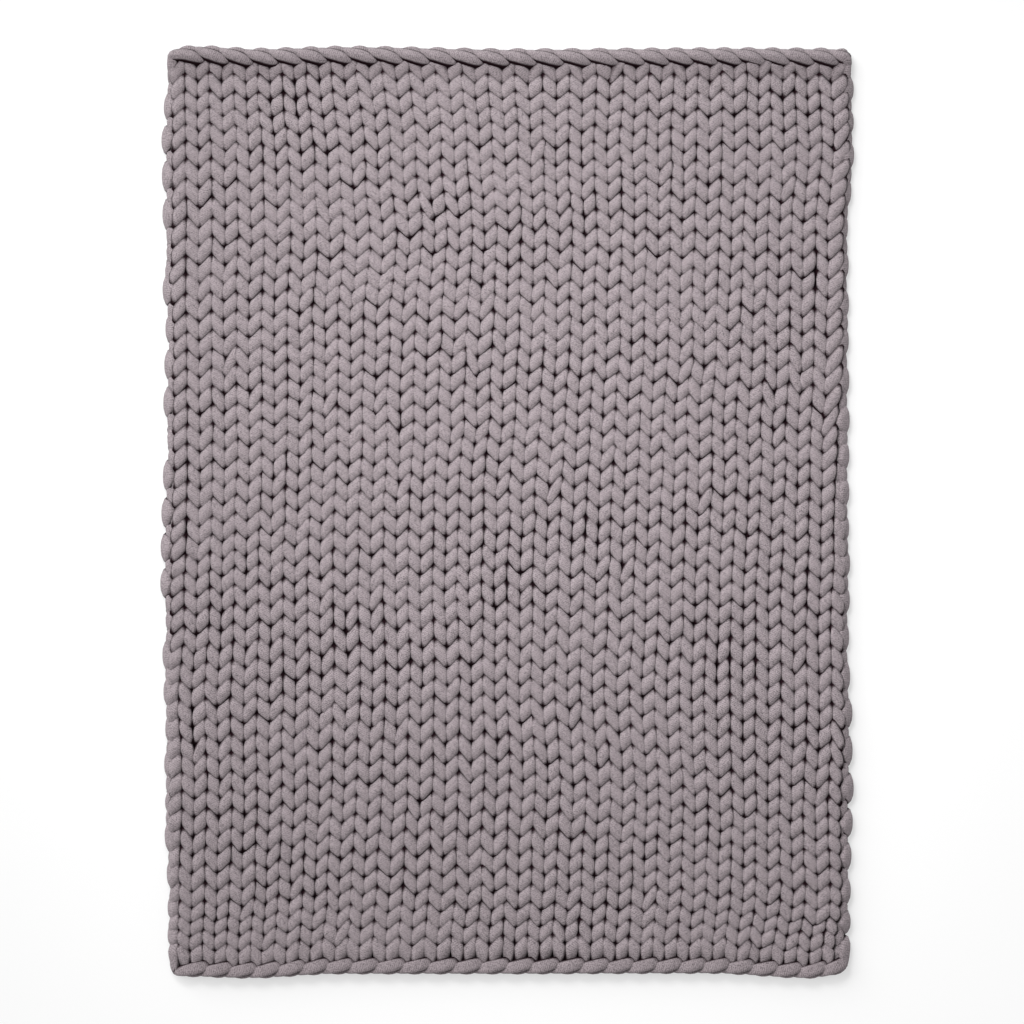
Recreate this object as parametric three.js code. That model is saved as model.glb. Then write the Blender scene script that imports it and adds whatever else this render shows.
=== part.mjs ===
// A chunky knit blanket lying flat, right side up, knitted in one piece from a thick tube yarn.
// X runs across the wales (columns of stitches), Y from the cast-on edge up to the bind-off edge, Z up.
// The origin is on the floor, under the middle of the blanket. Millimetres.

import * as THREE from 'three';

// Size of the blanket as it lies
const WIDTH = 1300; // selvedge to selvedge
const LENGTH = 1760; // cast-on edge to bind-off edge
const THICKNESS = 37; // floor to the crown of a stitch leg

// Gauge
const WALES = 28; // columns of stitches across the blanket
const ROWS = 50; // rows of stitches from cast-on to bind-off
const WALE_PITCH = WIDTH / WALES;

// Ribs: each wale stands up as two legs, with a crease between the legs and another to the next wale
const LEG_WIDTH = 0.5; // of a wale
const CREASE_HEIGHT = 26; // bottom of a crease above the floor
const CROWN_START = 0.24; // share of a leg's width where its flat crown starts
const CROWN_END = 0.76; // and where it ends
const LENGTH_STATIONS = 11; // steps along the blanket

// The rim: what lies outside the ribs, on the four sides
const SELVEDGE_BAND = 0.5; // wales taken by the turns of the yarn at each side
const CAST_ON_BAND = 32 / LENGTH; // share of the length taken by the cast-on loops
const BIND_OFF_BAND = 36 / LENGTH; // and by the bind-off loops

// Cast-on and bind-off: a rope of slanted loops, one for each wale
const LOOP_STEPS = 4; // steps along one loop
const CAST_ON_SLANT = 1; // its loops climb to the right
const BIND_OFF_SLANT = 1; // its loops fall to the right, seen along the way round the rim

// Side selvedges: the yarn turns there every second row, so a short lump follows each long one
const LUMP_PAIR_ROWS = 2;
const LONG_LUMP_SHARE = 0.64; // of a pair's length
const SHORT_LUMP_SWELL = 0.85; // of the long lump's swell
const LUMP_PAIR_STEPS = [0, 0.16, 0.48, 0.64, 0.82];

// Section of the rim, from the floor over its outer side to the top. inward: share of the band's width
// from the outline; height: above the floor; slip: how far a slanted loop has moved on, in loops.
const RIM_SECTION = [
  { inward: 0.24, height: 0, slip: 0 },
  { inward: 0.0, height: 9, slip: 0.05 },
  { inward: 0.05, height: 19, slip: 0.25 },
  { inward: 0.3, height: 28, slip: 0.5 },
  { inward: 0.68, height: 29, slip: 0.85 },
];
const DIP_INWARD = 0.16; // how far the rim draws in between two lumps, as a share of the band
const DIP_REACH = 0.6; // share of the band, from the outline, that draws in
const DIP_HEIGHT = 0.3; // and how far it sinks, as a share of its height
const CORNER_ROUNDING = 0.3; // how far the rim's corners draw in, as a share of the band

// Corners of a rectangle in the middle of the flat underside. turn: where on the way round the rim, in
// sides gone by, each corner's share of the underside starts.
const FLOOR_CORNERS = [
  { wale: WALES * 0.25, along: 0.25, turn: -0.5 },
  { wale: WALES * 0.75, along: 0.25, turn: 0.5 },
  { wale: WALES * 0.75, along: 0.75, turn: 1.5 },
  { wale: WALES * 0.25, along: 0.75, turn: 2.5 },
];

// How far the blanket's lines stray sideways from an even grid, from the cast-on (0) to the bind-off (1)
const SWAY = [
  { along: 0.0, leftEdge: 8, firstWale: -21, oneThird: -27, twoThirds: -5, lastWale: -7, rightEdge: -3 },
  { along: 0.1, leftEdge: 8, firstWale: -17, oneThird: -15, twoThirds: 4, lastWale: 8, rightEdge: -1 },
  { along: 0.2, leftEdge: 1, firstWale: -10, oneThird: -6, twoThirds: 10, lastWale: 6, rightEdge: 3 },
  { along: 0.3, leftEdge: 4, firstWale: -19, oneThird: -2, twoThirds: -1, lastWale: 12, rightEdge: 0 },
  { along: 0.4, leftEdge: -7, firstWale: -12, oneThird: -4, twoThirds: 6, lastWale: 10, rightEdge: -3 },
  { along: 0.5, leftEdge: -6, firstWale: -6, oneThird: -2, twoThirds: 12, lastWale: 16, rightEdge: -5 },
  { along: 0.6, leftEdge: -2, firstWale: -2, oneThird: 2, twoThirds: 18, lastWale: 20, rightEdge: -5 },
  { along: 0.7, leftEdge: 1, firstWale: -8, oneThird: 6, twoThirds: 27, lastWale: 26, rightEdge: -5 },
  { along: 0.8, leftEdge: 1, firstWale: -8, oneThird: 15, twoThirds: 29, lastWale: 31, rightEdge: 1 },
  { along: 0.9, leftEdge: -3, firstWale: -6, oneThird: 9, twoThirds: 29, lastWale: 41, rightEdge: 6 },
  { along: 1.0, leftEdge: 2, firstWale: -8, oneThird: -6, twoThirds: 37, lastWale: 35, rightEdge: 4 },
];

// The place across the wales that each column of that table is for
const SWAY_WALES = {
  leftEdge: 0,
  firstWale: 1.5,
  oneThird: 8.5,
  twoThirds: 18.5,
  lastWale: 26.5,
  rightEdge: WALES,
};

// How far the two ends stray lengthwise from straight, from the left (0) to the right (1)
const END_WANDER = [
  { across: 0.0, castOn: 2, bindOff: -4 },
  { across: 0.12, castOn: -5, bindOff: 1 },
  { across: 0.3, castOn: 4, bindOff: -1 },
  { across: 0.5, castOn: 2, bindOff: 0 },
  { across: 0.75, castOn: 4, bindOff: -1 },
  { across: 0.94, castOn: -4, bindOff: 2 },
  { across: 1.0, castOn: 2, bindOff: -3 },
];

const { lerp, inverseLerp, smoothstep } = THREE.MathUtils;

// Value of one column of a table, eased between its rows
function readTable(table, keyColumn, key, column) {
  const next = table.findIndex((row) => row[keyColumn] > key);
  if (next === -1) return table[table.length - 1][column];
  if (next === 0) return table[0][column];
  const before = table[next - 1];
  const after = table[next];
  return lerp(before[column], after[column], smoothstep(key, before[keyColumn], after[keyColumn]));
}

// Sideways stray of a place across the wales, at a share of the length
function swayAt(wale, along) {
  const columns = Object.keys(SWAY_WALES);
  const next = Math.max(1, columns.findIndex((column) => SWAY_WALES[column] >= wale));
  const [before, after] = [columns[next - 1], columns[next]];
  const share = inverseLerp(SWAY_WALES[before], SWAY_WALES[after], wale);
  return lerp(readTable(SWAY, 'along', along, before), readTable(SWAY, 'along', along, after), share);
}

// Place on the floor plan for a place across the wales (0 to WALES) and a share of the length (0 to 1)
function planPoint(wale, along) {
  const across = wale / WALES;
  const castOn = -LENGTH / 2 + readTable(END_WANDER, 'across', across, 'castOn');
  const bindOff = LENGTH / 2 + readTable(END_WANDER, 'across', across, 'bindOff');
  return new THREE.Vector2(
    -WIDTH / 2 + wale * WALE_PITCH + swayAt(wale, along),
    lerp(castOn, bindOff, along),
  );
}

// The lines along the ribbed face: a crease, then the two shoulders of a crown, for each leg
function ribLines() {
  const lines = [];
  const end = WALES - SELVEDGE_BAND;
  for (let wale = SELVEDGE_BAND; wale < end; wale += LEG_WIDTH) {
    lines.push({ wale, height: CREASE_HEIGHT });
    lines.push({ wale: wale + CROWN_START * LEG_WIDTH, height: THICKNESS });
    lines.push({ wale: wale + CROWN_END * LEG_WIDTH, height: THICKNESS });
  }
  lines.push({ wale: end, height: CREASE_HEIGHT });
  return lines;
}

// How far a rope of slanted loops swells at a phase, counted in loops, from 0 (dip) to 1 (crown)
function loopSwell(phase) {
  return 0.5 - 0.5 * Math.cos(2 * Math.PI * phase);
}

// The same for the long and short lumps of a selvedge, at a phase counted in pairs
function lumpSwell(phase) {
  const inPair = phase - Math.floor(phase);
  if (inPair < LONG_LUMP_SHARE) return Math.sin((Math.PI * inPair) / LONG_LUMP_SHARE);
  const inShort = (inPair - LONG_LUMP_SHARE) / (1 - LONG_LUMP_SHARE);
  return SHORT_LUMP_SWELL * Math.sin(Math.PI * inShort);
}

// The four sides of the rim, in the order that goes round it with the blanket on the left. edge and
// inner give the outline and the inside of the band at a share of the side's length.
function rimSides() {
  const acrossInner = (share) => lerp(SELVEDGE_BAND, WALES - SELVEDGE_BAND, share);
  const alongInner = (share) => lerp(CAST_ON_BAND, 1 - BIND_OFF_BAND, share);
  const loopPhases = [];
  for (let step = 0; step < WALES * LOOP_STEPS; step += 1) loopPhases.push(step / LOOP_STEPS);
  const lumpPairs = ROWS / LUMP_PAIR_ROWS;
  const lumpPhases = [];
  for (let pair = 0; pair < lumpPairs; pair += 1) {
    for (const step of LUMP_PAIR_STEPS) lumpPhases.push(pair + step);
  }
  return [
    {
      edge: (share) => planPoint(share * WALES, 0),
      inner: (share) => planPoint(acrossInner(share), CAST_ON_BAND),
      phases: loopPhases,
      repeats: WALES,
      swell: (phase, slip) => loopSwell(phase - CAST_ON_SLANT * slip),
    },
    {
      edge: (share) => planPoint(WALES, share),
      inner: (share) => planPoint(WALES - SELVEDGE_BAND, alongInner(share)),
      phases: lumpPhases,
      repeats: lumpPairs,
      swell: lumpSwell,
    },
    {
      edge: (share) => planPoint((1 - share) * WALES, 1),
      inner: (share) => planPoint(acrossInner(1 - share), 1 - BIND_OFF_BAND),
      phases: loopPhases,
      repeats: WALES,
      swell: (phase, slip) => loopSwell(phase - BIND_OFF_SLANT * slip),
    },
    {
      edge: (share) => planPoint(0, 1 - share),
      inner: (share) => planPoint(SELVEDGE_BAND, alongInner(1 - share)),
      phases: lumpPhases,
      repeats: lumpPairs,
      swell: lumpSwell,
    },
  ];
}

// The blanket's closed surface: a flat underside, the lumpy rim and the ribbed face inside it
function blanketGeometry() {
  const points = [];
  const triangles = [];
  const addPoint = (place, height) => points.push(new THREE.Vector3(place.x, place.y, height)) - 1;
  const addQuad = (a, b, c, d) => triangles.push([a, b, c], [a, c, d]);

  // Rim: one closed loop of points for each row of its section; turn counts sides gone by
  const rimLoops = RIM_SECTION.map(() => []);
  rimSides().forEach((side, sideIndex) => {
    for (const phase of side.phases) {
      const share = phase / side.repeats;
      const [edge, inner] = [side.edge(share), side.inner(share)];
      const isCorner = phase === 0;
      RIM_SECTION.forEach((row, loop) => {
        const dip = isCorner ? CORNER_ROUNDING / DIP_INWARD : 1 - side.swell(phase, row.slip);
        const inward = row.inward + dip * DIP_INWARD * Math.max(0, 1 - row.inward / DIP_REACH);
        const height = row.height * (1 - DIP_HEIGHT * Math.min(dip, 1));
        const index = addPoint(edge.clone().lerp(inner, inward), height);
        rimLoops[loop].push({ index, turn: sideIndex + share });
      });
    }
  });
  for (let loop = 1; loop < rimLoops.length; loop += 1) {
    const [below, above] = [rimLoops[loop - 1], rimLoops[loop]];
    below.forEach((point, at) => {
      const next = (at + 1) % below.length;
      addQuad(point.index, below[next].index, above[next].index, above[at].index);
    });
  }

  // Ribbed face: a grid of points on the rib lines
  const lines = ribLines();
  const lastLine = lines.length - 1;
  const grid = [];
  for (let station = 0; station <= LENGTH_STATIONS; station += 1) {
    const along = lerp(CAST_ON_BAND, 1 - BIND_OFF_BAND, station / LENGTH_STATIONS);
    grid.push(lines.map((line) => addPoint(planPoint(line.wale, along), line.height)));
  }
  for (let station = 0; station < LENGTH_STATIONS; station += 1) {
    const [row, next] = [grid[station], grid[station + 1]];
    for (let line = 0; line < lastLine; line += 1) {
      addQuad(row[line], row[line + 1], next[line + 1], next[line]);
    }
  }

  // The face's own boundary, in the rim's order, joined to the top of the rim
  const boundary = [];
  const lineShare = (line) => inverseLerp(lines[0].wale, lines[lastLine].wale, lines[line].wale);
  for (let line = 0; line < lastLine; line += 1) {
    boundary.push({ index: grid[0][line], turn: lineShare(line) });
  }
  for (let station = 0; station < LENGTH_STATIONS; station += 1) {
    boundary.push({ index: grid[station][lastLine], turn: 1 + station / LENGTH_STATIONS });
  }
  for (let line = lastLine; line > 0; line -= 1) {
    boundary.push({ index: grid[LENGTH_STATIONS][line], turn: 3 - lineShare(line) });
  }
  for (let station = LENGTH_STATIONS; station > 0; station -= 1) {
    boundary.push({ index: grid[station][0], turn: 4 - station / LENGTH_STATIONS });
  }
  triangles.push(...joinLoops(rimLoops[rimLoops.length - 1], boundary));

  // Flat underside: the rim's lowest loop is joined to a rectangle inside it, which is then closed
  const corners = FLOOR_CORNERS.map(({ wale, along, turn }) => (
    { index: addPoint(planPoint(wale, along), 0), turn }
  ));
  for (const [a, b, c] of joinLoops(rimLoops[0], corners)) triangles.push([a, c, b]);
  const [first, second, third, fourth] = corners.map((corner) => corner.index);
  addQuad(fourth, third, second, first);

  const geometry = new THREE.BufferGeometry();
  const numbers = points.flatMap((point) => point.toArray());
  geometry.setAttribute('position', new THREE.Float32BufferAttribute(numbers, 3));
  geometry.setIndex(triangles.flat());
  geometry.computeVertexNormals();
  geometry.computeBoundingBox();
  const middle = geometry.boundingBox.getCenter(new THREE.Vector3());
  return geometry.translate(-middle.x, -middle.y, 0);
}

// Triangles between an outer and an inner closed loop, stepping on along the one that lags behind
function joinLoops(outer, inner) {
  const triangles = [];
  const fullTurn = 4;
  const turnAt = (loop, step) => loop[step % loop.length].turn + (step < loop.length ? 0 : fullTurn);
  const indexAt = (loop, step) => loop[step % loop.length].index;
  let [out, into] = [0, 0];
  while (out < outer.length || into < inner.length) {
    const outerIsNext = turnAt(outer, out + 1) <= turnAt(inner, into + 1);
    if (into === inner.length || (out < outer.length && outerIsNext)) {
      triangles.push([indexAt(outer, out), indexAt(outer, out + 1), indexAt(inner, into)]);
      out += 1;
    } else {
      triangles.push([indexAt(inner, into), indexAt(outer, out), indexAt(inner, into + 1)]);
      into += 1;
    }
  }
  return triangles;
}

const yarn = new THREE.MeshStandardMaterial({ color: 0xaea3a7, roughness: 0.95, metalness: 0 });
const knitBlanket = new THREE.Mesh(blanketGeometry(), yarn);
knitBlanket.name = 'knit_blanket';

const blanket = new THREE.Group();
blanket.name = 'blanket';
blanket.add(knitBlanket);

export default blanket;
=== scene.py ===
# A chunky knit blanket, hand knitted in stockinette from a thick jersey tube yarn, laid flat and seen
# from straight above. Sizes are in millimetres until a mesh is made, X across, Y towards the bind-off.
# The textures, the floor, the light and the camera are in metres.
import math
from collections import namedtuple

import bpy
import numpy as np
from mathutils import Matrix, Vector


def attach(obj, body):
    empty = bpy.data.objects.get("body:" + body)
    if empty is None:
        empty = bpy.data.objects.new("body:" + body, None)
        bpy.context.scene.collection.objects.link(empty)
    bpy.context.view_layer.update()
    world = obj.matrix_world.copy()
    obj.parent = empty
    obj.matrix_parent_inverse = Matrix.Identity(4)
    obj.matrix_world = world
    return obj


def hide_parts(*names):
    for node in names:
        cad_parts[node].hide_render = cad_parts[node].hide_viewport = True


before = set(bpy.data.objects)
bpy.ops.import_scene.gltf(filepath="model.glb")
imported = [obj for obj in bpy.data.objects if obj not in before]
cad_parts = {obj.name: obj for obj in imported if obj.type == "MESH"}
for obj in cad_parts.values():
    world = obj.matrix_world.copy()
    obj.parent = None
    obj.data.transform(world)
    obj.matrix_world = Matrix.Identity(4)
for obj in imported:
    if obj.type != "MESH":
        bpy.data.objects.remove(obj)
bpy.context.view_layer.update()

# The lie of the fabric
# Twenty-eight wales, the columns of stitches, by fifty rows, laid out by hand on the floor. The wales sway
# sideways and the rows arch, because a hand-knit fabric of this weight never lies quite square.
WIDTH = 1300.0
LENGTH = 1760.0
WALES = 28
ROWS = 50
WALE_PITCH = WIDTH / WALES
CAST_ON_BAND = 24.0
BIND_OFF_BAND = 31.0
ROW_PITCH = (LENGTH - CAST_ON_BAND - BIND_OFF_BAND) / ROWS
MILLIMETRE = 0.001

# Sideways stray from an even grid, in millimetres, as read off the photograph at every fifth row. The
# values lie at these wales, and along is 0 at the cast-on and 1 at the bind-off.
SWAY_WALES = (0.0, 1.5, 8.5, 13.5, 18.5, 26.5, 28.0)
SWAY = (
    dict(along=0.0, left=8, first=-20, third=-24, middle=-10, two_thirds=-3, last=-10, right=-3),
    dict(along=0.1, left=8, first=-16, third=-13, middle=-1, two_thirds=6, last=5, right=-1),
    dict(along=0.2, left=1, first=-10, third=-5, middle=5, two_thirds=13, last=3, right=3),
    dict(along=0.3, left=4, first=-15, third=2, middle=0, two_thirds=1, last=10, right=0),
    dict(along=0.4, left=-3, first=-6, third=-3, middle=0, two_thirds=7, last=10, right=-3),
    dict(along=0.5, left=-3, first=-3, third=0, middle=4, two_thirds=12, last=14, right=-4),
    dict(along=0.6, left=-1, first=-2, third=3, middle=13, two_thirds=19, last=17, right=-5),
    dict(along=0.7, left=2, first=-4, third=9, middle=24, two_thirds=29, last=24, right=-5),
    dict(along=0.8, left=1, first=-2, third=20, middle=27, two_thirds=31, last=28, right=-3),
    dict(along=0.9, left=-2, first=-3, third=12, middle=20, two_thirds=31, last=38, right=4),
    dict(along=1.0, left=4, first=-8, third=-6, middle=12, two_thirds=38, last=33, right=3),
)

# Lengthwise stray of the rows, towards the bind-off, read in the same way
RISE_WALES = (1.5, 7.5, 13.5, 20.5, 26.5)
RISE = (
    dict(along=0.0, left=-2, quarter=2, middle=5, three_quarters=4, right=-1),
    dict(along=0.1, left=-30, quarter=-6, middle=2, three_quarters=-8, right=-28),
    dict(along=0.2, left=-24, quarter=-4, middle=12, three_quarters=-16, right=-36),
    dict(along=0.3, left=-24, quarter=6, middle=23, three_quarters=-8, right=-28),
    dict(along=0.4, left=-19, quarter=21, middle=31, three_quarters=0, right=-14),
    dict(along=0.5, left=-22, quarter=26, middle=33, three_quarters=5, right=-15),
    dict(along=0.6, left=-15, quarter=23, middle=33, three_quarters=7, right=-12),
    dict(along=0.7, left=-9, quarter=15, middle=32, three_quarters=12, right=0),
    dict(along=0.8, left=-3, quarter=8, middle=27, three_quarters=14, right=9),
    dict(along=0.9, left=10, quarter=5, middle=17, three_quarters=6, right=14),
    dict(along=1.0, left=0, quarter=0, middle=0, three_quarters=0, right=0),
)

# Lengthwise stray of the two ends, where across is 0 at the left side and 1 at the right
END_WANDER = (
    dict(across=0.0, cast_on=4, bind_off=-6),
    dict(across=0.05, cast_on=-3, bind_off=3),
    dict(across=0.14, cast_on=-6, bind_off=-2),
    dict(across=0.27, cast_on=2, bind_off=2),
    dict(across=0.5, cast_on=2, bind_off=-3),
    dict(across=0.8, cast_on=3, bind_off=-1),
    dict(across=0.95, cast_on=-6, bind_off=-2),
    dict(across=1.0, cast_on=3, bind_off=-6),
)


def read_table(table, key, value, column):
    """Eased value of one column of a table, at a value of its key column."""
    keys = [line[key] for line in table]
    after = int(np.clip(np.searchsorted(keys, value), 1, len(keys) - 1))
    share = np.clip((value - keys[after - 1]) / (keys[after] - keys[after - 1]), 0.0, 1.0)
    eased = share * share * (3.0 - 2.0 * share)
    return table[after - 1][column] * (1.0 - eased) + table[after][column] * eased


def stray(table, places, wale, along):
    """Stray in millimetres from the even grid, read along the blanket and then across it."""
    columns = [name for name in table[0] if name != "along"]
    values = [read_table(table, "along", along, column) for column in columns]
    return float(np.interp(wale, places, values))


# The sides roll under a little: the outermost wales crowd together, tilt and sink towards the floor
ROLL_REACH = 15.0  # radius of the bend
ROLL_DROP = 13.0  # how far the outermost yarn sinks
ROLL_TILT = 0.45  # tilt of a strand, as a share of the bend's angle
ROLL_WALES = (1.5, 26.5)  # the wales in between lie flat everywhere
EDGE_YARN = 11.0  # from the outline to the middle of the outermost yarn

Place = namedtuple("Place", "x y drop tilt")


def place(wale, row):
    """Where a place in the knitting comes to lie, with the drop and the tilt of the rolled sides."""
    along = min(max(row / ROWS, 0.0), 1.0)
    across = min(max(wale / WALES, 0.0), 1.0)

    def even_x(at_wale):
        return -WIDTH / 2 + at_wale * WALE_PITCH + stray(SWAY, SWAY_WALES, at_wale, along)

    inner = min(max(wale, ROLL_WALES[0]), ROLL_WALES[1])
    x = even_x(inner) + (wale - inner) * WALE_PITCH
    side = 1.0 if wale > WALES / 2 else -1.0
    outermost = side * even_x(WALES if side > 0 else 0) - EDGE_YARN
    past_bend = side * x - (outermost - ROLL_REACH)
    roll = min(max(past_bend / ROLL_REACH, 0.0), math.pi / 2)
    if past_bend > 0.0:
        x = side * (outermost - ROLL_REACH * (1.0 - math.sin(roll)))

    y = -LENGTH / 2 + CAST_ON_BAND + row * ROW_PITCH + stray(RISE, RISE_WALES, wale, along)
    y += read_table(END_WANDER, "across", across, "cast_on") * (1.0 - along)
    y += read_table(END_WANDER, "across", across, "bind_off") * along
    return Place(x, y, drop=ROLL_DROP * (1.0 - math.cos(roll)), tilt=ROLL_TILT * side * roll)


# The yarn
# A tube of fine cotton jersey about 24 mm across, stuffed with fibre, in a warm grey. Its own tiny knit
# shows as close cross ribs, and its cut loops give it a soft, matte, slightly fuzzy face.
SECTION_SIDES = 14
SECTION_CROWDING = 0.4  # radians that the points at its sides move towards its face
SECTION_SQUARENESS = 4.0  # 2 would be an ellipse
# Relief of the jersey: rings of tiny stitches round the tube, and fuzz on them
RIB_PITCH = 3.0
RIBS_AROUND = 22.0
RIB_SLANT = 0.6  # radians of a ring's wave
FUZZ_SCALE = 480.0
FUZZ_HEIGHT = 0.6  # against 1 for a ring
BUMP_STRENGTH = 0.5
BUMP_HEIGHT = 0.0006
MOTTLE_SCALE = 45.0
YARN_COLOUR = (0.300, 0.256, 0.271, 1.0)
YARN_SHADE = (0.105, 0.089, 0.095, 1.0)
# Painted shade of the hollows between strands
PAINTED_HOLLOW_SHADE = (0.011, 0.004, 0.006, 1.0)
# Tone, from 0 in the shade to 1 in the full colour: its level, and how much the rings and the fuzz, as
# painted shade of the relief, and the mottle, the yarn's own uneven colour, vary it
TONE_LEVEL = 0.7
RING_PAINTED_SHADE = 0.5
FUZZ_PAINTED_SHADE = 3.4
MOTTLE_TONE = 0.5
# Crown, 1 on a strand's open face and less where strands press together: between these two the colour fades
# into a painted shade
LIT_CROWN = 0.82
HOLLOW_CROWN = 0.50
LOWEST_RISE = -0.1  # the lowest crown, on the underside
ROUGHNESS = 0.95
GLOSS = 0.05
SHEEN = 0.14
SHEEN_ROUGHNESS = 0.6


def add_node(tree, kind, inputs=None, **settings):
    """A new node with its settings, and with its inputs set to values or linked to sockets."""
    node = tree.nodes.new(kind)
    for name, value in settings.items():
        setattr(node, name, value)
    for socket, value in (inputs or {}).items():
        if isinstance(value, bpy.types.NodeSocket):
            tree.links.new(value, node.inputs[socket])
        else:
            node.inputs[socket].default_value = value
    return node


def add_math(tree, kind, operation, *values):
    """Result of a new math node."""
    return add_node(tree, kind, dict(enumerate(values)), operation=operation).outputs[0]


def jersey_yarn():
    """The yarn's material, which reads its place on the tube and its painted light and shade from the mesh.
    """
    material = bpy.data.materials.new("jersey_tube_yarn")
    material.use_nodes = True
    tree = material.node_tree
    shader = tree.nodes["Principled BSDF"]
    shader.inputs["Roughness"].default_value = ROUGHNESS
    shader.inputs["Specular IOR Level"].default_value = GLOSS
    shader.inputs["Sheen Roughness"].default_value = SHEEN_ROUGHNESS

    def calculate(operation, *values):
        return add_math(tree, "ShaderNodeMath", operation, *values)

    def attribute(name):
        return add_node(tree, "ShaderNodeAttribute", attribute_name=name).outputs["Fac"]

    coordinates = add_node(tree, "ShaderNodeTexCoord").outputs["Object"]

    def noise(scale, detail):
        values = {"Vector": coordinates, "Scale": scale, "Detail": detail}
        return add_node(tree, "ShaderNodeTexNoise", values).outputs["Fac"]

    # Courses of the jersey: rings round the tube, each a chain of tiny slanted stitches
    turn = calculate("MULTIPLY", attribute("around"), 2.0 * math.pi * RIBS_AROUND)
    zigzag = calculate("MULTIPLY", calculate("SINE", turn), RIB_SLANT)
    course = calculate("MULTIPLY", attribute("along"), 2.0 * math.pi / RIB_PITCH)
    ring = calculate("SINE", calculate("ADD", course, zigzag))
    ring_height = calculate("MULTIPLY_ADD", ring, 0.5, 0.5)
    fuzz = noise(FUZZ_SCALE, 2.0)
    mottle = noise(MOTTLE_SCALE, 4.0)

    # Tone: painted shade of the relief, with the ridges of the rings and the tips of the fuzz lighter and
    # the hollows between them darker, and the mottle, the yarn's own uneven colour
    def weighted(value, weight):
        return calculate("MULTIPLY_ADD", value, weight, -weight / 2)

    def mixed(factor, first, second):
        node = add_node(tree, "ShaderNodeMix", {"Factor": factor}, data_type="RGBA")
        colour_inputs = [socket for socket in node.inputs if socket.type == "RGBA"]
        for socket, value in zip(colour_inputs, (first, second)):
            if isinstance(value, bpy.types.NodeSocket):
                tree.links.new(value, socket)
            else:
                socket.default_value = value
        return [socket for socket in node.outputs if socket.type == "RGBA"][0]

    ring_painted_shade = weighted(ring_height, RING_PAINTED_SHADE)
    fuzz_painted_shade = weighted(fuzz, FUZZ_PAINTED_SHADE)
    mottle_tone = weighted(mottle, MOTTLE_TONE)
    painted_shade_and_mottle = calculate("ADD", calculate("ADD", ring_painted_shade, fuzz_painted_shade), mottle_tone)
    yarn_tone = mixed(calculate("ADD", painted_shade_and_mottle, TONE_LEVEL), YARN_SHADE, YARN_COLOUR)

    # Painted shade: the colour fades to near black in the hollows between strands, for the light that they
    # miss
    painted_shade_fade = add_node(
        tree,
        "ShaderNodeMapRange",
        {"Value": attribute("crown"), "From Min": HOLLOW_CROWN, "From Max": LIT_CROWN},
        interpolation_type="SMOOTHSTEP",
    )
    painted_lit_share = calculate("MULTIPLY", painted_shade_fade.outputs["Result"], attribute("light"))
    tree.links.new(mixed(painted_lit_share, PAINTED_HOLLOW_SHADE, yarn_tone), shader.inputs["Base Color"])

    # The sheen is taken out too where the shade is painted
    sheen = calculate("MULTIPLY", painted_lit_share, SHEEN)
    tree.links.new(sheen, shader.inputs["Sheen Weight"])

    height = calculate("ADD", ring_height, calculate("MULTIPLY", fuzz, FUZZ_HEIGHT))
    relief = {"Height": height, "Strength": BUMP_STRENGTH, "Distance": BUMP_HEIGHT}
    bump = add_node(tree, "ShaderNodeBump", relief)
    tree.links.new(bump.outputs["Normal"], shader.inputs["Normal"])
    return material


YARN = jersey_yarn()


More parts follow.
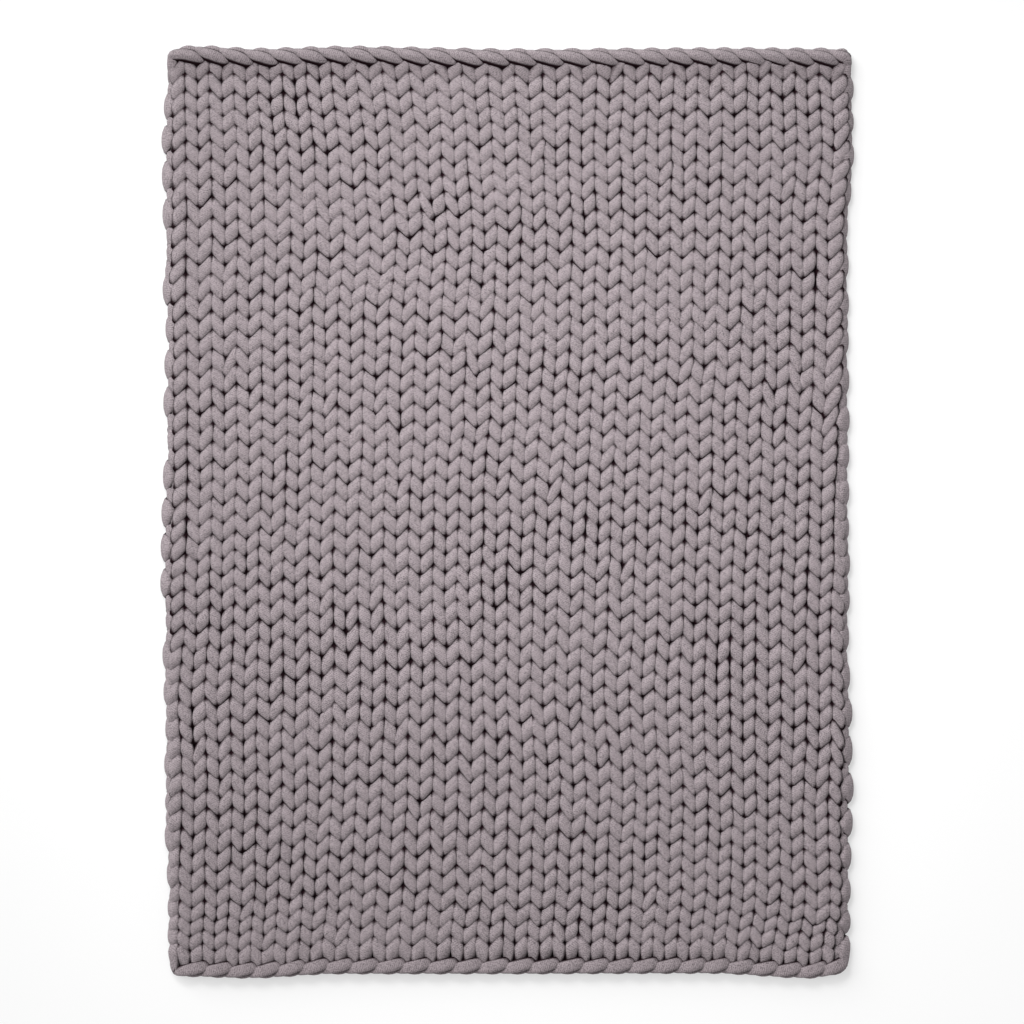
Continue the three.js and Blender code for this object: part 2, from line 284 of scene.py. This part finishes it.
def yarn_sweep():
    """Tree that sweeps a soft, flattened section along a path whose points carry its frame and size."""
    tree = bpy.data.node_groups.new("yarn_sweep", "GeometryNodeTree")
    for name, kind in (
        ("Geometry", "NodeSocketGeometry"),
        ("Section Sides", "NodeSocketInt"),
        ("Squareness", "NodeSocketFloat"),
        ("Crowding", "NodeSocketFloat"),
        ("Yarn", "NodeSocketMaterial"),
    ):
        tree.interface.new_socket(name, in_out="INPUT", socket_type=kind)
    tree.interface.new_socket("Geometry", in_out="OUTPUT", socket_type="NodeSocketGeometry")
    given = tree.nodes.new("NodeGroupInput").outputs

    def calculate(operation, *values):
        return add_math(tree, "ShaderNodeMath", operation, *values)

    def add_vectors(first, second):
        return add_math(tree, "ShaderNodeVectorMath", "ADD", first, second)

    def dotted(first, second):
        values = {0: first, 1: second}
        return add_node(tree, "ShaderNodeVectorMath", values, operation="DOT_PRODUCT").outputs["Value"]

    def scaled(vector, factor):
        values = {0: vector, "Scale": factor}
        return add_node(tree, "ShaderNodeVectorMath", values, operation="SCALE").outputs[0]

    def named(name, data_type="FLOAT"):
        node = add_node(tree, "GeometryNodeInputNamedAttribute", {"Name": name}, data_type=data_type)
        return node.outputs["Attribute"]

    def stored(geometry, name, value):
        values = {"Geometry": geometry, "Name": name, "Value": value}
        node = add_node(tree, "GeometryNodeStoreNamedAttribute", values, data_type="FLOAT", domain="POINT")
        return node.outputs[0]

    # Path and profile, the profile's points numbered round the section from its underside
    path = add_node(tree, "GeometryNodeMeshToCurve", {"Mesh": given["Geometry"]})
    circle = add_node(tree, "GeometryNodeCurvePrimitiveCircle", {"Resolution": given["Section Sides"]})
    index = add_node(tree, "GeometryNodeInputIndex").outputs[0]
    share = calculate("DIVIDE", index, given["Section Sides"])
    profile = stored(circle.outputs["Curve"], "around", share)
    tube = add_node(
        tree,
        "GeometryNodeCurveToMesh",
        {"Curve": path.outputs[0], "Profile Curve": profile, "Fill Caps": True},
    )

    # Section: a squarish ellipse in each point's own frame, with its sides crowded towards its face
    even_angle = calculate("MULTIPLY_ADD", named("around"), 2.0 * math.pi, -math.pi / 2)
    crowding = calculate("MULTIPLY", calculate("COSINE", even_angle), given["Crowding"])
    angle = calculate("ADD", even_angle, crowding)
    cosine = calculate("COSINE", angle)
    sine = calculate("SINE", angle)
    cosine_power = calculate("POWER", calculate("ABSOLUTE", cosine), given["Squareness"])
    sine_power = calculate("POWER", calculate("ABSOLUTE", sine), given["Squareness"])
    inverse = calculate("DIVIDE", -1.0, given["Squareness"])
    radius = calculate("POWER", calculate("ADD", cosine_power, sine_power), inverse)
    reach_side = calculate("MULTIPLY", calculate("MULTIPLY", cosine, radius), named("half_width"))
    reach_up = calculate("MULTIPLY", calculate("MULTIPLY", sine, radius), named("half_height"))
    offset = add_vectors(
        scaled(named("side", "FLOAT_VECTOR"), reach_side),
        scaled(named("up", "FLOAT_VECTOR"), reach_up),
    )
    position = add_vectors(named("centre", "FLOAT_VECTOR"), offset)

    # Length along the yarn, in millimetres, for the jersey's courses, which stay square to the yarn
    lead = calculate("DIVIDE", dotted(offset, named("ahead", "FLOAT_VECTOR")), MILLIMETRE)
    length = calculate("ADD", named("along"), lead)
    measured = stored(tube.outputs[0], "along", length)
    moved = add_node(tree, "GeometryNodeSetPosition", {"Geometry": measured, "Position": position})

    # Crown: 1 on the open face of a strand, falling to 0 and below where strands press together; an edge
    # strand is open at its outer side too. The crown masks the painted shade of the hollows.
    upward = add_node(tree, "ShaderNodeSeparateXYZ", {0: offset}).outputs["Z"]
    rise = calculate("DIVIDE", upward, named("half_height"))
    outward = calculate("DIVIDE", dotted(offset, named("open", "FLOAT_VECTOR")), named("half_width"))
    open_side = calculate("MAXIMUM", outward, 0.0)
    faced_rise = calculate("MAXIMUM", calculate("MULTIPLY", rise, named("face")), LOWEST_RISE)
    faced = stored(moved.outputs[0], "crown", calculate("ADD", faced_rise, open_side))
    smooth = add_node(tree, "GeometryNodeSetShadeSmooth", {"Geometry": faced})
    geometry = smooth.outputs[0]
    for spent in ("centre", "side", "up", "ahead", "open", "half_width", "half_height", "face"):
        node = add_node(tree, "GeometryNodeRemoveAttribute", {"Geometry": geometry, "Name": spent})
        geometry = node.outputs[0]
    realized = add_node(tree, "GeometryNodeRealizeInstances", {"Geometry": geometry})
    finished = add_node(
        tree, "GeometryNodeSetMaterial", {"Geometry": realized.outputs[0], "Material": given["Yarn"]}
    )
    output = tree.nodes.new("NodeGroupOutput")
    tree.links.new(finished.outputs[0], output.inputs[0])
    return tree


YARN_SWEEP = yarn_sweep()


def smooth_path(controls, steps):
    """Even curve through control rows (any columns), with its own number of steps for each stretch."""
    padded = np.vstack((2 * controls[0] - controls[1], controls, 2 * controls[-1] - controls[-2]))
    points = []
    for start, count in enumerate(steps):
        before, here, there, beyond = padded[start:start + 4]
        for step in range(count):
            t = step / count
            points.append(
                here
                + 0.5 * t * (there - before)
                + t * t * (before - 2.5 * here + 2.0 * there - 0.5 * beyond)
                + 0.5 * t * t * t * (3.0 * (here - there) + beyond - before)
            )
    points.append(controls[-1])
    return np.array(points)


def make_yarn(name, controls, steps):
    """A finished piece of yarn, as a plain mesh. Its control rows hold x, y, height, half width, half
    height, face, light (a painted shade below 1), the section's side direction (x, y, z) and its open
    direction (x, y)."""
    path = smooth_path(np.array(controls), steps)
    centre = path[:, 0:3]
    half_width, half_height, face, light = path[:, 3:7].T
    side = path[:, 7:10] / np.linalg.norm(path[:, 7:10], axis=1)[:, None]
    open_side = np.column_stack((path[:, 10:12], np.zeros(len(path))))
    spans = np.linalg.norm(np.diff(centre, axis=0), axis=1)
    along = np.concatenate(((0.0,), np.cumsum(spans)))
    ahead = np.gradient(centre, axis=0)
    ahead /= np.linalg.norm(ahead, axis=1)[:, None]
    up = np.cross(ahead, side)
    up /= np.linalg.norm(up, axis=1)[:, None]
    reach_down = half_width * abs(side[:, 2]) + half_height * abs(up[:, 2])
    centre[:, 2] = np.maximum(centre[:, 2], reach_down)

    mesh = bpy.data.meshes.new(name)
    edges = [(point, point + 1) for point in range(len(path) - 1)]
    mesh.from_pydata((centre * MILLIMETRE).tolist(), edges, [])
    vectors = dict(centre=centre * MILLIMETRE, side=side, up=up, ahead=ahead, open=open_side)
    for attribute, values in vectors.items():
        mesh.attributes.new(attribute, "FLOAT_VECTOR", "POINT").data.foreach_set("vector", values.ravel())
    numbers = dict(
        along=along,
        half_width=half_width * MILLIMETRE,
        half_height=half_height * MILLIMETRE,
        face=face,
        light=light,
    )
    for attribute, values in numbers.items():
        mesh.attributes.new(attribute, "FLOAT", "POINT").data.foreach_set("value", values)

    piece = bpy.data.objects.new(name, mesh)
    bpy.context.scene.collection.objects.link(piece)
    modifier = piece.modifiers.new("sweep", "NODES")
    modifier.node_group = YARN_SWEEP
    values = {
        "Section Sides": SECTION_SIDES,
        "Squareness": SECTION_SQUARENESS,
        "Crowding": SECTION_CROWDING,
        "Yarn": YARN,
    }
    for socket in YARN_SWEEP.interface.items_tree:
        if socket.in_out == "INPUT" and socket.name in values:
            modifier[socket.identifier] = values[socket.name]
    depsgraph = bpy.context.evaluated_depsgraph_get()
    swept = bpy.data.meshes.new_from_object(piece.evaluated_get(depsgraph), depsgraph=depsgraph)
    piece.modifiers.clear()
    piece.data = swept
    bpy.data.meshes.remove(mesh)
    swept.name = name
    return piece


def declare_yarn(piece):
    """Every piece of yarn lies on the blanket's one body and stands for its one solid."""
    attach(piece, "root")
    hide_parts("knit_blanket")


# The stitches
# Each row is the same yarn, run through the loops of the row below: up a leg, round a head at the back,
# down the other leg, and across a bar at the back to the next wale. At the sides it turns and climbs a row.

# Half a stitch, from the bar at its side to the middle of its head. across: wales from its middle;
# along: rows from its base; height above the floor and half sizes in millimetres; turn: the section's flat
# side against the row, in degrees; face: 1 where the strand shows in front, -1 at the back, and it scales
# the crown, which masks the painted shade.
HALF_STITCH = (
    dict(across=0.50, along=-0.35, height=7.0, half_width=16.0, half_height=6.5, turn=90, face=-1.0),
    dict(across=0.19, along=0.08, height=11.0, half_width=13.5, half_height=8.0, turn=50, face=0.1),
    dict(across=0.196, along=0.27, height=21.5, half_width=17.8, half_height=9.5, turn=47, face=0.88),
    dict(across=0.262, along=0.70, height=26.0, half_width=20.2, half_height=10.5, turn=47, face=1.0),
    dict(across=0.334, along=1.14, height=18.0, half_width=17.8, half_height=9.0, turn=47, face=0.88),
    dict(across=0.35, along=1.32, height=10.0, half_width=12.5, half_height=8.0, turn=50, face=0.1),
    dict(across=0.0, along=1.62, height=7.0, half_width=16.0, half_height=6.5, turn=90, face=-1.0),
)
HALF_STITCH_STEPS = (1, 2, 3, 3, 2, 1)
# The feet of the first row, slim and drawn out, and the shoulders of the last row pass under the chains
FOOT_END = 0.5  # rows from the stitch's base
SHOULDER_START = 0.9
UNDER_CHAIN_DROP = 11.0
FIRST_ROW_DRAW = 0.45  # rows
FIRST_FOOT_WIDTH = 0.8
LAST_SHOULDER_FACE = 0.8
# The whole last row lies lower, and its colour is darkened with a painted shade of the bind-off
LAST_ROW_DROP = 4.0
LAST_ROW_PAINTED_LIGHT = 0.82
# The strands at the back stay between these rows, so that none shows past an end
FIRST_BACK_STRAND = 0.0
LAST_BACK_STRAND = ROWS + 0.25

# At the sides the outermost leg of each row is pressed under the turns, and the leg beside it is plump,
# most of all at the left. In the upper rows the last wale at the right is tucked under, and the leg beside
# it shows. shift: wales outwards from the stitch's middle; lean: degrees added to its turn.
PLAIN_LEG = dict(shift=0.0, lean=0.0, width=1.0, drop=0.0, face=1.0)
OUTER_LEG = dict(shift=-0.10, lean=0.0, width=0.7, drop=8.0, face=1.1)
TUCKED_LEG = dict(shift=-0.10, lean=0.0, width=0.7, drop=14.0, face=1.1)
SHOWN_LEG = dict(shift=0.05, lean=0.0, width=1.25, drop=-1.0, face=1.0)
LEFT_INNER_LEG = dict(shift=-0.02, lean=-8.0, width=1.25, drop=-1.0, face=0.93)
RIGHT_INNER_LEG = dict(shift=0.0, lean=0.0, width=1.1, drop=0.0, face=1.0)
TUCK_START = 25.0  # the row below which nothing is tucked under
TUCK_ROWS = 7.0  # rows from there to where the last wale is wholly under

# The turn at a side, from the last foot of a row to the first foot of the next
SIDE_TURN = (
    dict(across=0.38, along=0.06, height=10.0, half_width=9.0, half_height=8.0, turn=135, face=0.4),
    dict(across=0.48, along=0.42, height=17.0, half_width=14.0, half_height=10.5, turn=168, face=1.0),
    dict(across=0.54, along=1.00, height=17.0, half_width=14.0, half_height=10.5, turn=192, face=1.0),
    dict(across=0.45, along=1.36, height=10.0, half_width=9.0, half_height=8.0, turn=225, face=0.4),
)
SIDE_TURN_STEPS = (2, 2, 3, 2, 2)
# Wales that the turns at the right lie further in, and how far those of a tucked wale sink
RIGHT_TURN_INSET = 0.05
TUCKED_TURN_INSET = 0.17
TUCKED_TURN_DROP = 6.0
# Painted light on the outer side of the strands along the sides, lifting the painted shade there: 1 where
# it is open, and less where a turn ends
TURN_END_OPENNESS = 0.1
OPEN_TILT = 0.3  # tilt of the roll, in radians, from which a strand's side is open
# Painted shade: the right side keeps less of this painted light, so its outer strands are painted darker
RIGHT_OPENNESS = 0.4  # the right side lies away from the light
STEEPEST_SLANT = 0.5  # the least cosine of a slant that the openness is divided by
ROLL_NARROWING = 0.2  # share of its width that a strand loses where its side is open

# Unevenness of the hand: drifts that neighbouring stitches share, and a little of each stitch's own
HAND = np.random.default_rng(28)
DRIFT_BLURS = 2


def uneven(shared, own):
    """Grid of one number for each stitch, of a shared drift and an own spread."""
    drift = HAND.normal(0.0, 1.0, (ROWS + 2 * DRIFT_BLURS, WALES + 2 * DRIFT_BLURS))
    for blur in range(DRIFT_BLURS):
        drift = drift[:-2] + drift[1:-1] + drift[2:]
        drift = drift[:, :-2] + drift[:, 1:-1] + drift[:, 2:]
    return shared * drift / drift.std() + HAND.normal(0.0, own, (ROWS, WALES))


# Stray and lift in millimetres, size as a share of the strand's width, slant in degrees. The knitting
# starts a little loose, with slimmer strands, and tightens towards the bind-off.
TIGHTENING = (-0.04, 0.008)
STRAY_X = uneven(1.2, 0.6)
STRAY_Y = uneven(1.2, 0.8)
SIZE = uneven(0.025, 0.04) + np.linspace(*TIGHTENING, ROWS)[:, None]
SLANT = uneven(2.0, 4.0)
LIFT = uneven(0.8, 1.1)

# Spots where the tension slackened and the strands stand apart, each along a line between strands. line:
# wales from the left; reach: rows up and down; open: millimetres to each side.
LOOSE_WALES = 0.7  # wales that a spot reaches to each side
LOOSE_SPOTS = (
    dict(line=1.0, row=38.3, reach=0.6, open=3.2),
    dict(line=1.0, row=24.5, reach=0.8, open=3.0),
    dict(line=9.5, row=29.8, reach=1.8, open=2.0),
    dict(line=26.0, row=38.0, reach=1.5, open=2.5),
    dict(line=1.5, row=14.5, reach=1.0, open=2.5),
)


def loosened(wale, row):
    """Sideways give, in millimetres, at a place near the loose spots."""
    shift = 0.0
    for spot in LOOSE_SPOTS:
        beside = wale - spot["line"]
        nearness = math.exp(-((beside / LOOSE_WALES) ** 2) - ((row - spot["row"]) / spot["reach"]) ** 2)
        shift += math.copysign(spot["open"] * nearness, beside)
    return shift


# The legs of a stitch, in rows from its base, and the least and most that the sway may stretch them
LEG_MIDDLE = 0.7
LEG_ENDS = (0.2, 1.2)
STRETCH = (0.85, 1.15)


def local_lie(wale, row):
    """How the fabric is turned and stretched about a stitch: where a step across and a step along lead."""
    left, right = (np.array(place(wale + end, row + LEG_MIDDLE)[:2]) for end in (0.0, 1.0))
    low, high = (np.array(place(wale + 0.5, row + end)[:2]) for end in LEG_ENDS)
    across = (right - left) / WALE_PITCH
    across[0] = min(max(across[0], STRETCH[0]), STRETCH[1])
    return np.column_stack((across, (high - low) / ROW_PITCH))


def right_tuck(row):
    """How far the last wale at the right is tucked under: not at all, 0, up to wholly, 1."""
    return min(max((row - TUCK_START) / TUCK_ROWS, 0.0), 1.0)


def leg_fit(wale, row, side):
    """How a leg differs from a plain one: side is -1 for a stitch's left leg and 1 for its right leg."""
    if wale == 0:
        return OUTER_LEG if side < 0 else LEFT_INNER_LEG
    if wale == WALES - 1:
        lower_leg = RIGHT_INNER_LEG if side < 0 else OUTER_LEG
        upper_leg = TUCKED_LEG
    elif wale == WALES - 2 and side > 0:
        lower_leg = PLAIN_LEG
        upper_leg = SHOWN_LEG
    else:
        return PLAIN_LEG
    tuck = right_tuck(row)
    return {key: lower_leg[key] * (1.0 - tuck) + upper_leg[key] * tuck for key in lower_leg}


def stitch_controls(wale, row, side, travel, points):
    """Control rows for half a stitch, or for the turn beside it: side is -1 for the left half and 1 for the
    right, and travel is 1 where the row is worked towards the right."""
    rows = []
    is_turn = points is SIDE_TURN
    fit = PLAIN_LEG if is_turn else leg_fit(wale, row, side)
    lie = local_lie(wale, row)
    is_outer_leg = not is_turn and wale == (WALES - 1 if side > 0 else 0)
    outward = 1.0 if wale > WALES / 2 else -1.0
    inset = 0.0
    if is_turn and side > 0:
        inset = RIGHT_TURN_INSET + (TUCKED_TURN_INSET - RIGHT_TURN_INSET) * right_tuck(row)
    for point in points:
        in_front = point["face"] >= 0.0
        goes_under_chain = in_front and not is_outer_leg
        is_first_foot = row == 0 and point["along"] < FOOT_END and goes_under_chain
        is_last_shoulder = row == ROWS - 1 and point["along"] > SHOULDER_START and goes_under_chain
        along = point["along"] - (FIRST_ROW_DRAW if is_first_foot else 0.0)
        if not in_front:
            along = min(max(row + along, FIRST_BACK_STRAND), LAST_BACK_STRAND) - row
        at_wale = wale + 0.5 + side * (point["across"] - inset + (fit["shift"] if in_front else 0.0))
        x, y, drop, tilt = place(at_wale, row + along)
        slant = math.radians(point["turn"] + fit["lean"] + side * SLANT[row, wale])
        face = point["face"] * (fit["face"] if in_front else 1.0)
        if is_last_shoulder:
            face = max(face, LAST_SHOULDER_FACE)
        half_width = point["half_width"] * fit["width"] * (1.0 + SIZE[row, wale] * max(face, 0.0))
        across_section = travel * np.array((side * math.cos(slant), math.sin(slant)))
        if not is_turn and in_front:
            across_section = lie @ across_section * math.cos(math.radians(point["turn"])) / math.cos(slant)
            half_width *= np.linalg.norm(across_section)
            across_section /= np.linalg.norm(across_section)
        drop += fit["drop"]
        if is_turn:
            openness = min(TURN_END_OPENNESS + (1.0 - TURN_END_OPENNESS) * face, 1.0)
            if side > 0:
                drop += TUCKED_TURN_DROP * right_tuck(row)
        elif is_outer_leg:
            openness = 1.0
        else:
            openness = min(abs(tilt) / OPEN_TILT, 1.0) * (RIGHT_OPENNESS if outward > 0.0 else 1.0)
            half_width *= 1.0 - ROLL_NARROWING * openness
        if is_first_foot:
            half_width *= FIRST_FOOT_WIDTH
        if is_first_foot or is_last_shoulder:
            drop += UNDER_CHAIN_DROP
        # Painted light: 1 for the full colour, less where the shade of the bind-off is painted
        light = 1.0
        if row == ROWS - 1:
            drop += LAST_ROW_DROP
            light = LAST_ROW_PAINTED_LIGHT
        height = point["height"] + LIFT[row, wale] * max(face, 0.0) - drop
        rows.append((
            x + STRAY_X[row, wale] + loosened(at_wale, row + along),
            y + STRAY_Y[row, wale],
            height,
            half_width,
            point["half_height"],
            face,
            light,
            across_section[0] * math.cos(tilt),
            across_section[1],
            -across_section[0] * math.sin(tilt),
            outward * openness / max(abs(math.cos(slant)), STEEPEST_SLANT),
            0.0,
        ))
    return rows


# The rows are made in bands, so that no mesh grows too large
ROWS_IN_BAND = 10
for first_row in range(0, ROWS, ROWS_IN_BAND):
    controls = []
    steps = []
    for row in range(first_row, first_row + ROWS_IN_BAND):
        to_right = row % 2 == 0
        order = range(WALES) if to_right else range(WALES - 1, -1, -1)
        entry_side = -1 if to_right else 1
        for wale in order:
            is_first = wale == order[0]
            is_last = wale == order[-1]
            exit_points = HALF_STITCH[-2:0:-1] if is_last else HALF_STITCH[-2::-1]
            controls += stitch_controls(wale, row, entry_side, -entry_side, HALF_STITCH[1:])
            controls += stitch_controls(wale, row, -entry_side, -entry_side, exit_points)
            steps += HALF_STITCH_STEPS[1:] if is_first else HALF_STITCH_STEPS
            steps += HALF_STITCH_STEPS[:0:-1] if is_last else HALF_STITCH_STEPS[::-1]
        if row < first_row + ROWS_IN_BAND - 1:
            controls += stitch_controls(order[-1], row, -entry_side, -entry_side, SIDE_TURN)
            steps += SIDE_TURN_STEPS
    band = make_yarn(f"stitches_{first_row // ROWS_IN_BAND + 1}", controls, steps)
    declare_yarn(band)

# The cast-on and the bind-off
# A chain runs along each end, one link to a wale: the front leg of each link lies slantwise over the end
# of the stitches, and the back leg shows as a thin rim at the very edge.

# One link: across in wales from its wale's middle, inward in millimetres from the edge of the blanket.
CHAIN_LINK = (
    dict(across=-0.08, inward=8.0, height=15.0, half_width=7.0, half_height=8.0, face=0.4),
    dict(across=0.20, inward=12.5, height=24.5, half_width=10.5, half_height=9.5, face=1.0),
    dict(across=0.60, inward=18.0, height=28.0, half_width=12.5, half_height=11.0, face=1.05),
    dict(across=1.00, inward=24.0, height=25.5, half_width=11.7, half_height=10.5, face=1.0),
    dict(across=1.28, inward=28.5, height=17.0, half_width=8.5, half_height=9.0, face=0.4),
    dict(across=1.32, inward=24.0, height=9.0, half_width=7.0, half_height=8.0, face=-0.5),
    dict(across=1.20, inward=14.5, height=9.0, half_width=5.5, half_height=7.0, face=0.4),
    dict(across=0.92, inward=8.5, height=15.0, half_width=7.5, half_height=8.0, face=1.0),
    dict(across=0.60, inward=6.5, height=18.0, half_width=8.5, half_height=8.5, face=1.1),
    dict(across=0.28, inward=8.5, height=13.0, half_width=7.0, half_height=8.0, face=0.9),
    dict(across=0.26, inward=16.0, height=8.5, half_width=5.5, half_height=7.0, face=-0.8),
)
CHAIN_STEPS = 2
CHAIN_MIDDLE = 18.0  # millimetres inward from the edge, about which a link's slope is taken
# Painted shade: the share of the light that the chains' colour keeps
CHAIN_PAINTED_LIGHT = 0.92
CHAIN_DROP = 0.5  # share of the drop of the rolled sides that a chain follows
CHAIN_OVERHANG = 0.2  # wales past a side that a chain reaches at most
# The rim is open to the light outwards, and so are the two ends of a chain, sideways: there the painted
# shade of the hollows is lifted
RIM_INWARD = 10.0
LEFT_END = 0.9  # wales from the left
RIGHT_END = WALES - 0.2
# At its left end the bind-off rises from the side of the blanket, and at its right end it runs down it
BIND_OFF_START = (
    dict(across=-0.62, inward=46.0, height=12.0, half_width=7.5, half_height=8.0, face=0.4),
    dict(across=-0.55, inward=31.0, height=20.0, half_width=9.5, half_height=9.0, face=1.1),
    dict(across=-0.36, inward=17.0, height=22.0, half_width=9.5, half_height=9.5, face=1.1),
    dict(across=-0.08, inward=12.0, height=23.0, half_width=9.5, half_height=9.5, face=1.1),
)
BIND_OFF_END = (
    dict(across=0.66, inward=29.0, height=25.0, half_width=10.5, half_height=10.0, face=1.1),
    dict(across=0.70, inward=44.0, height=22.0, half_width=9.5, half_height=9.5, face=1.1),
    dict(across=0.70, inward=60.0, height=12.0, half_width=7.5, half_height=8.0, face=0.4),
)
BIND_OFF_LINKS = [(0, point) for point in BIND_OFF_START + CHAIN_LINK[1:]]
BIND_OFF_LINKS += [(wale, point) for wale in range(1, WALES - 1) for point in CHAIN_LINK]
BIND_OFF_LINKS += [(WALES - 1, point) for point in CHAIN_LINK[:2] + BIND_OFF_END]
# At its left end the cast-on starts as a strand that runs down the side and into the first link
CAST_ON_START = (
    dict(across=0.10, inward=40.0, height=13.0, half_width=7.0, half_height=8.0, face=0.4),
    dict(across=0.10, inward=25.0, height=19.0, half_width=9.0, half_height=9.0, face=1.1),
    dict(across=0.15, inward=12.0, height=17.0, half_width=8.5, half_height=8.5, face=1.1),
    dict(across=0.85, inward=5.0, height=12.0, half_width=7.0, half_height=7.5, face=1.1),
)
CAST_ON_LINKS = [(0, point) for point in CAST_ON_START]
CAST_ON_LINKS += [(1, point) for point in CHAIN_LINK[1:]]
CAST_ON_LINKS += [(wale, point) for wale in range(2, WALES) for point in CHAIN_LINK]


def chain_controls(name, links, end_row, inward_sign, shift, slope, lift, curl):
    """Control rows for a chain: inward_sign is 1 where inward is towards the bind-off, shift is in wales,
    slope is a share of the link's own, lift is in millimetres, and curl turns its face to the middle."""
    rows = []
    open_sides = []
    for wale, point in links:
        at_wale = wale + 0.5 + point["across"] + shift
        at_wale = min(max(at_wale, -CHAIN_OVERHANG), WALES + CHAIN_OVERHANG)
        spot = place(at_wale, end_row)
        across = min(max(at_wale / WALES, 0.0), 1.0)
        inward = CHAIN_MIDDLE + slope * (point["inward"] - CHAIN_MIDDLE)
        y = inward_sign * (inward - LENGTH / 2) + read_table(END_WANDER, "across", across, name)
        height = point["height"] + lift * max(point["face"], 0.0) - CHAIN_DROP * spot.drop
        section = (point["half_width"], point["half_height"], point["face"], CHAIN_PAINTED_LIGHT)
        rows.append((spot.x, y, height, *section))
        past_side = 0.0
        if at_wale > RIGHT_END:
            past_side = 1.0
        elif at_wale < LEFT_END:
            past_side = -1.0
        open_sides.append((past_side, -inward_sign if point["inward"] < RIM_INWARD else 0.0))
    rows = np.array(rows)
    ahead = np.gradient(rows[:, 0:2], axis=0)
    ahead /= np.linalg.norm(ahead, axis=1)[:, None]
    raised = -inward_sign * math.tan(curl) * ahead[:, 0]
    controls = np.column_stack((rows, -ahead[:, 1], ahead[:, 0], raised, open_sides))
    return controls, [CHAIN_STEPS] * (len(links) - 1)


# The ends curl to the front, so the chains face the middle of the blanket, most of all at the bind-off
CHAINS = (
    dict(
        name="cast_on",
        links=CAST_ON_LINKS,
        end_row=0,
        inward_sign=1.0,
        shift=-0.5,
        slope=0.8,
        lift=-1.5,
        curl=math.radians(12.0),
    ),
    dict(
        name="bind_off",
        links=BIND_OFF_LINKS,
        end_row=ROWS,
        inward_sign=-1.0,
        shift=0.0,
        slope=1.0,
        lift=1.5,
        curl=math.radians(46.0),
    ),
)
for chain in CHAINS:
    controls, steps = chain_controls(**chain)
    declare_yarn(make_yarn(chain["name"], controls, steps))

# The floor, light and camera
# A plain white floor under a large soft light from the top left, and a camera straight above, whose
# picture takes in 1950 mm of floor, as the photograph does.
WHITE = (1.0, 1.0, 1.0, 1.0)
FLOOR_REACH = 4.0
FLOOR_HEIGHT = -0.0003  # a hair below the yarn
FLOOR_COLOUR = (0.38, 0.38, 0.38, 1.0)
FLOOR_ROUGHNESS = 0.9
FLOOR_GLOW = 0.515
SKY_STRENGTH = 0.45
PICTURE_WIDTH = 1.950
PICTURE_SHIFT_X = 0.0095
LENS = 85.0
SENSOR = 36.0

floor_corners = (
    (-FLOOR_REACH, -FLOOR_REACH, FLOOR_HEIGHT),
    (FLOOR_REACH, -FLOOR_REACH, FLOOR_HEIGHT),
    (FLOOR_REACH, FLOOR_REACH, FLOOR_HEIGHT),
    (-FLOOR_REACH, FLOOR_REACH, FLOOR_HEIGHT),
)
floor_mesh = bpy.data.meshes.new("floor")
floor_mesh.from_pydata(floor_corners, [], [(0, 1, 2, 3)])
floor = bpy.data.objects.new("floor", floor_mesh)
bpy.context.scene.collection.objects.link(floor)
floor_paint = bpy.data.materials.new("white_floor")
floor_paint.use_nodes = True
floor_shader = floor_paint.node_tree.nodes["Principled BSDF"]
floor_shader.inputs["Base Color"].default_value = FLOOR_COLOUR
floor_shader.inputs["Roughness"].default_value = FLOOR_ROUGHNESS
floor_shader.inputs["Emission Color"].default_value = WHITE
floor_shader.inputs["Emission Strength"].default_value = FLOOR_GLOW
floor_mesh.materials.append(floor_paint)

world = bpy.data.worlds.new("studio")
world.use_nodes = True
sky = world.node_tree.nodes["Background"]
sky.inputs["Color"].default_value = WHITE
sky.inputs["Strength"].default_value = SKY_STRENGTH
bpy.context.scene.world = world

sun_data = bpy.data.lights.new("ceiling_light", "SUN")
sun_data.angle = math.radians(55.0)
sun_data.energy = 2.5
softbox_data = bpy.data.lights.new("softbox", "AREA")
softbox_data.size = 0.9
softbox_data.spread = math.radians(75.0)
softbox_data.energy = 13.0
for light_data, stand, aim in (
    (sun_data, (-2.0, 1.6, 1.9), (0.0, 0.0, 0.0)),
    (softbox_data, (-0.4, 1.3, 2.6), (0.0, 0.15, 0.0)),
):
    lamp = bpy.data.objects.new(light_data.name, light_data)
    lamp.location = stand
    lamp.rotation_euler = (Vector(aim) - lamp.location).to_track_quat("-Z", "Y").to_euler()
    bpy.context.scene.collection.objects.link(lamp)

camera_data = bpy.data.cameras.new("camera")
camera_data.lens = LENS
camera_data.sensor_width = SENSOR
camera = bpy.data.objects.new("camera", camera_data)
camera.location = (PICTURE_SHIFT_X, 0.0, PICTURE_WIDTH * LENS / SENSOR)
bpy.context.scene.collection.objects.link(camera)
bpy.context.scene.camera = camera
bpy.context.scene.view_settings.view_transform = "Standard"
